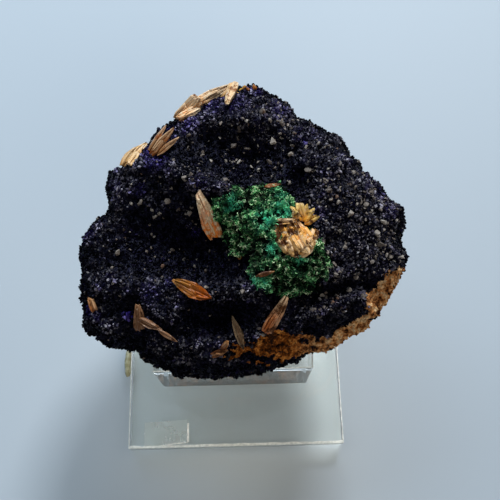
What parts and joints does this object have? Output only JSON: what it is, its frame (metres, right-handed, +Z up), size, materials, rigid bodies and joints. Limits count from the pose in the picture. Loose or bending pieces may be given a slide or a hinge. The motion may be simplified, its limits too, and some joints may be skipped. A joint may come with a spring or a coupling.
{
  "type": "azurite specimen",
  "caption": "Drusy azurite rock with a velvety malachite cushion and tabular baryte blades, resting on a two-step clear acrylic stand.",
  "frame": {"origin": "centre of the stand's underside", "axes": "+Z up; the rock's show side faces up and towards -Y; X runs along the width of the stand"},
  "size_m": [0.0646, 0.0674, 0.0609],
  "materials": {
    "clear_acrylic": "polished",
    "azurite": "satin",
    "malachite": "matte",
    "baryte": "satin",
    "dried_glue": "satin"
  },
  "bodies": {
    "root": {"acrylic_base_plate": "clear_acrylic", "acrylic_riser_block": "clear_acrylic", "azurite_rock": "azurite", "malachite_cushion": "malachite", "baryte_rim_fan": "baryte", "baryte_hanging_blade": "baryte", "baryte_slender_blades": "baryte", "baryte_edge_group": "baryte", "baryte_broad_blade": "baryte", "baryte_lens_blade": "baryte", "baryte_forked_blade": "baryte", "baryte_striated_blade": "baryte", "baryte_brown_blade": "baryte", "baryte_front_chunk": "baryte", "baryte_side_chip": "baryte", "baryte_rosette": "baryte", "baryte_upper_splinter": "baryte", "baryte_lower_splinter": "baryte", "glue_bead": "dried_glue"}
  },
  "joints": []
}
